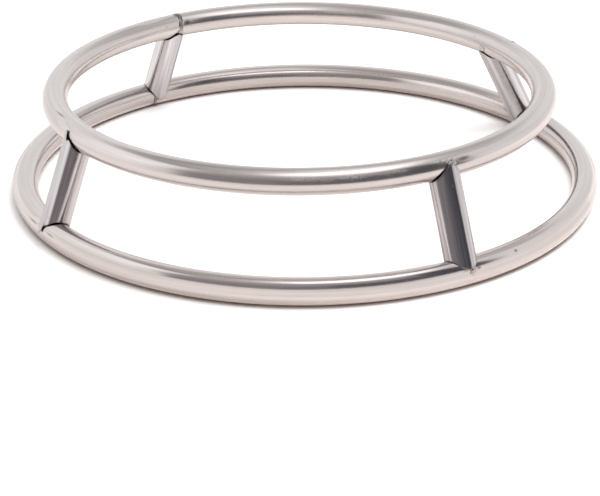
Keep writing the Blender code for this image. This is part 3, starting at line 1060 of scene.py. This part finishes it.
class WOKRING_OT_struts(Operator):
    """Cut the four struts and saddle them on the hoops"""
    bl_idname = "wok_ring.struts"
    bl_label = "Struts"

    def execute(self, context):
        finish = context.scene.wok_ring_finish
        # The bore's material is painted shade.
        bore_shade = painted_bore_shade()
        for index, strut in enumerate(STRUTS):
            # A back strut's tone makes its steel lighter: a painted highlight.
            skin = steel(f"{strut.name} strut steel", toned(finish.strut_colour, strut.tone),
                         finish.strut_roughness, line_depth=1.0, line_fineness=2100.0,
                         streak_tones=((0.80, 0.75, 0.77), (1.10, 1.11, 1.12)))
            build_strut(index, strut, [skin, bore_shade])
        return {"FINISHED"}


class WOKRING_OT_tacks(Operator):
    """Tack the struts' ears to the hoops"""
    bl_idname = "wok_ring.tacks"
    bl_label = "Tack welds"

    def execute(self, context):
        finish = context.scene.wok_ring_finish
        welded = weld_metal("tack weld", finish.weld_roughness)
        ground = steel("ground weld", toned(finish.hoop_colour, 1.12), finish.hoop_roughness + 0.2)
        for number, strut in enumerate(STRUTS):
            ends = {"foot": ("lower", strut.foot_bearing), "head": ("upper", strut.head_bearing)}
            for step, ((end, side), tack) in enumerate(zip(TACK_PLACES, TACKS[strut.name])):
                shift, girth, *size, heat, grinding = tack
                which, bearing = ends[end]
                bearing += math.degrees(shift * MM / hoop_sizes(which)[1])
                place = f"{strut.name}_{end}_{side}"
                seed = number * len(TACK_PLACES) + step + 1
                add_bead(f"tack_weld_{place}", which, bearing, girth, size, seed,
                         ground if grinding > 0.9 else welded, heat, 1.0 - 0.85 * grinding,
                         [f"tack_{place}"])
        return {"FINISHED"}


class WOKRING_OT_spatter(Operator):
    """Scatter the few drops of weld metal that the real one carries"""
    bl_idname = "wok_ring.spatter"
    bl_label = "Weld spatter"

    def execute(self, context):
        finish = context.scene.wok_ring_finish
        material = weld_metal("spatter", finish.weld_roughness - 0.08)
        for index, (which, bearing, girth, *size) in enumerate(DROPLETS):
            add_bead(f"spatter_{index}", which, bearing, girth, size, index + SPATTER_SEED, material,
                     SPATTER_HEAT, SPATTER_LUMPS)
        for index, droplet in enumerate(STRUT_DROPLETS):
            add_strut_droplet(index, *droplet, material)
        return {"FINISHED"}


class WOKRING_OT_stage(Operator):
    """Lay the floor and set up the light tent, lamp, sky and camera"""
    bl_idname = "wok_ring.stage"
    bl_label = "Studio"

    def execute(self, context):
        studio = context.scene.wok_ring_studio
        build_floor(studio)
        build_tent()
        build_kicker()
        build_world(studio)
        build_lamp(studio)
        build_camera()
        context.scene.view_settings.view_transform = "Standard"
        return {"FINISHED"}


BUILDERS = (WOKRING_OT_hoops, WOKRING_OT_seams, WOKRING_OT_struts, WOKRING_OT_tacks,
            WOKRING_OT_spatter, WOKRING_OT_stage)


class WOKRING_PT_panel(Panel):
    """Sidebar tab with the stand's sizes, finish, studio and builders"""
    bl_idname = "WOKRING_PT_panel"
    bl_label = "Wok Ring"
    bl_space_type = "VIEW_3D"
    bl_region_type = "UI"
    bl_category = "Wok Ring"

    def draw(self, context):
        layout = self.layout
        for key, (title, _) in GROUPS.items():
            box = layout.box()
            box.label(text=title)
            group = getattr(context.scene, key)
            for name in group.bl_rna.properties.keys():
                if name not in ("rna_type", "name"):
                    box.prop(group, name)
        for builder in BUILDERS:
            layout.operator(builder.bl_idname)


GROUPS = {
    "wok_ring_sizes": ("Sizes", WokRingSizes),
    "wok_ring_finish": ("Finish", WokRingFinish),
    "wok_ring_studio": ("Studio", WokRingStudio),
}
CLASSES = (WokRingSizes, WokRingFinish, WokRingStudio, *BUILDERS, WOKRING_PT_panel)


def register():
    for item in CLASSES:
        bpy.utils.register_class(item)
    for key, (_, group) in GROUPS.items():
        setattr(bpy.types.Scene, key, PointerProperty(type=group))


def unregister():
    for key in GROUPS:
        delattr(bpy.types.Scene, key)
    for item in reversed(CLASSES):
        bpy.utils.unregister_class(item)


def main():
    register()
    for build in (bpy.ops.wok_ring.hoops, bpy.ops.wok_ring.seams, bpy.ops.wok_ring.struts,
                  bpy.ops.wok_ring.tacks, bpy.ops.wok_ring.spatter, bpy.ops.wok_ring.stage):
        build()


if __name__ == "__main__":
    main()
